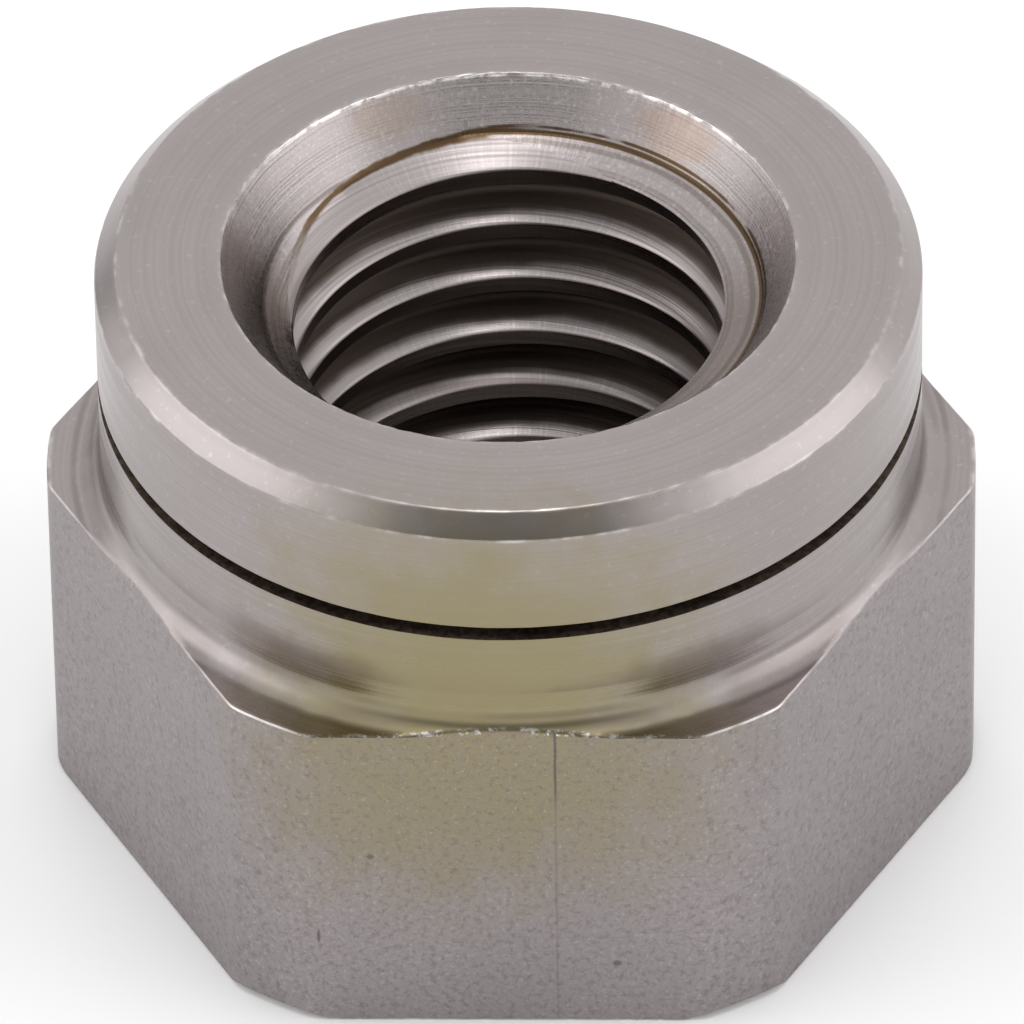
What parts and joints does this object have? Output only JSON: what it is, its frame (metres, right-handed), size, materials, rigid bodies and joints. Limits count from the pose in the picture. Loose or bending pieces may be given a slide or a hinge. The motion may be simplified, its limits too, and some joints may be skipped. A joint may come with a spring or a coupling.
{
  "type": "self-locking nut",
  "caption": "All-metal self-locking hexagon nut: a round slit collar above the flats pinches the left-hand thread.",
  "frame": {"origin": "centre of the bearing face, on the thread's axis", "axes": "+Z along the thread's axis, from the bearing face towards the collar; -Y square to the flat in front of which the collar's slit is sawn; +X towards a corner of the hexagon"},
  "size_m": [0.0132, 0.012, 0.0091],
  "materials": {
    "bare_steel": "bare steel, turned collar and top, fine matt flats"
  },
  "bodies": {
    "root": {"lock_nut": "bare_steel"}
  },
  "joints": []
}
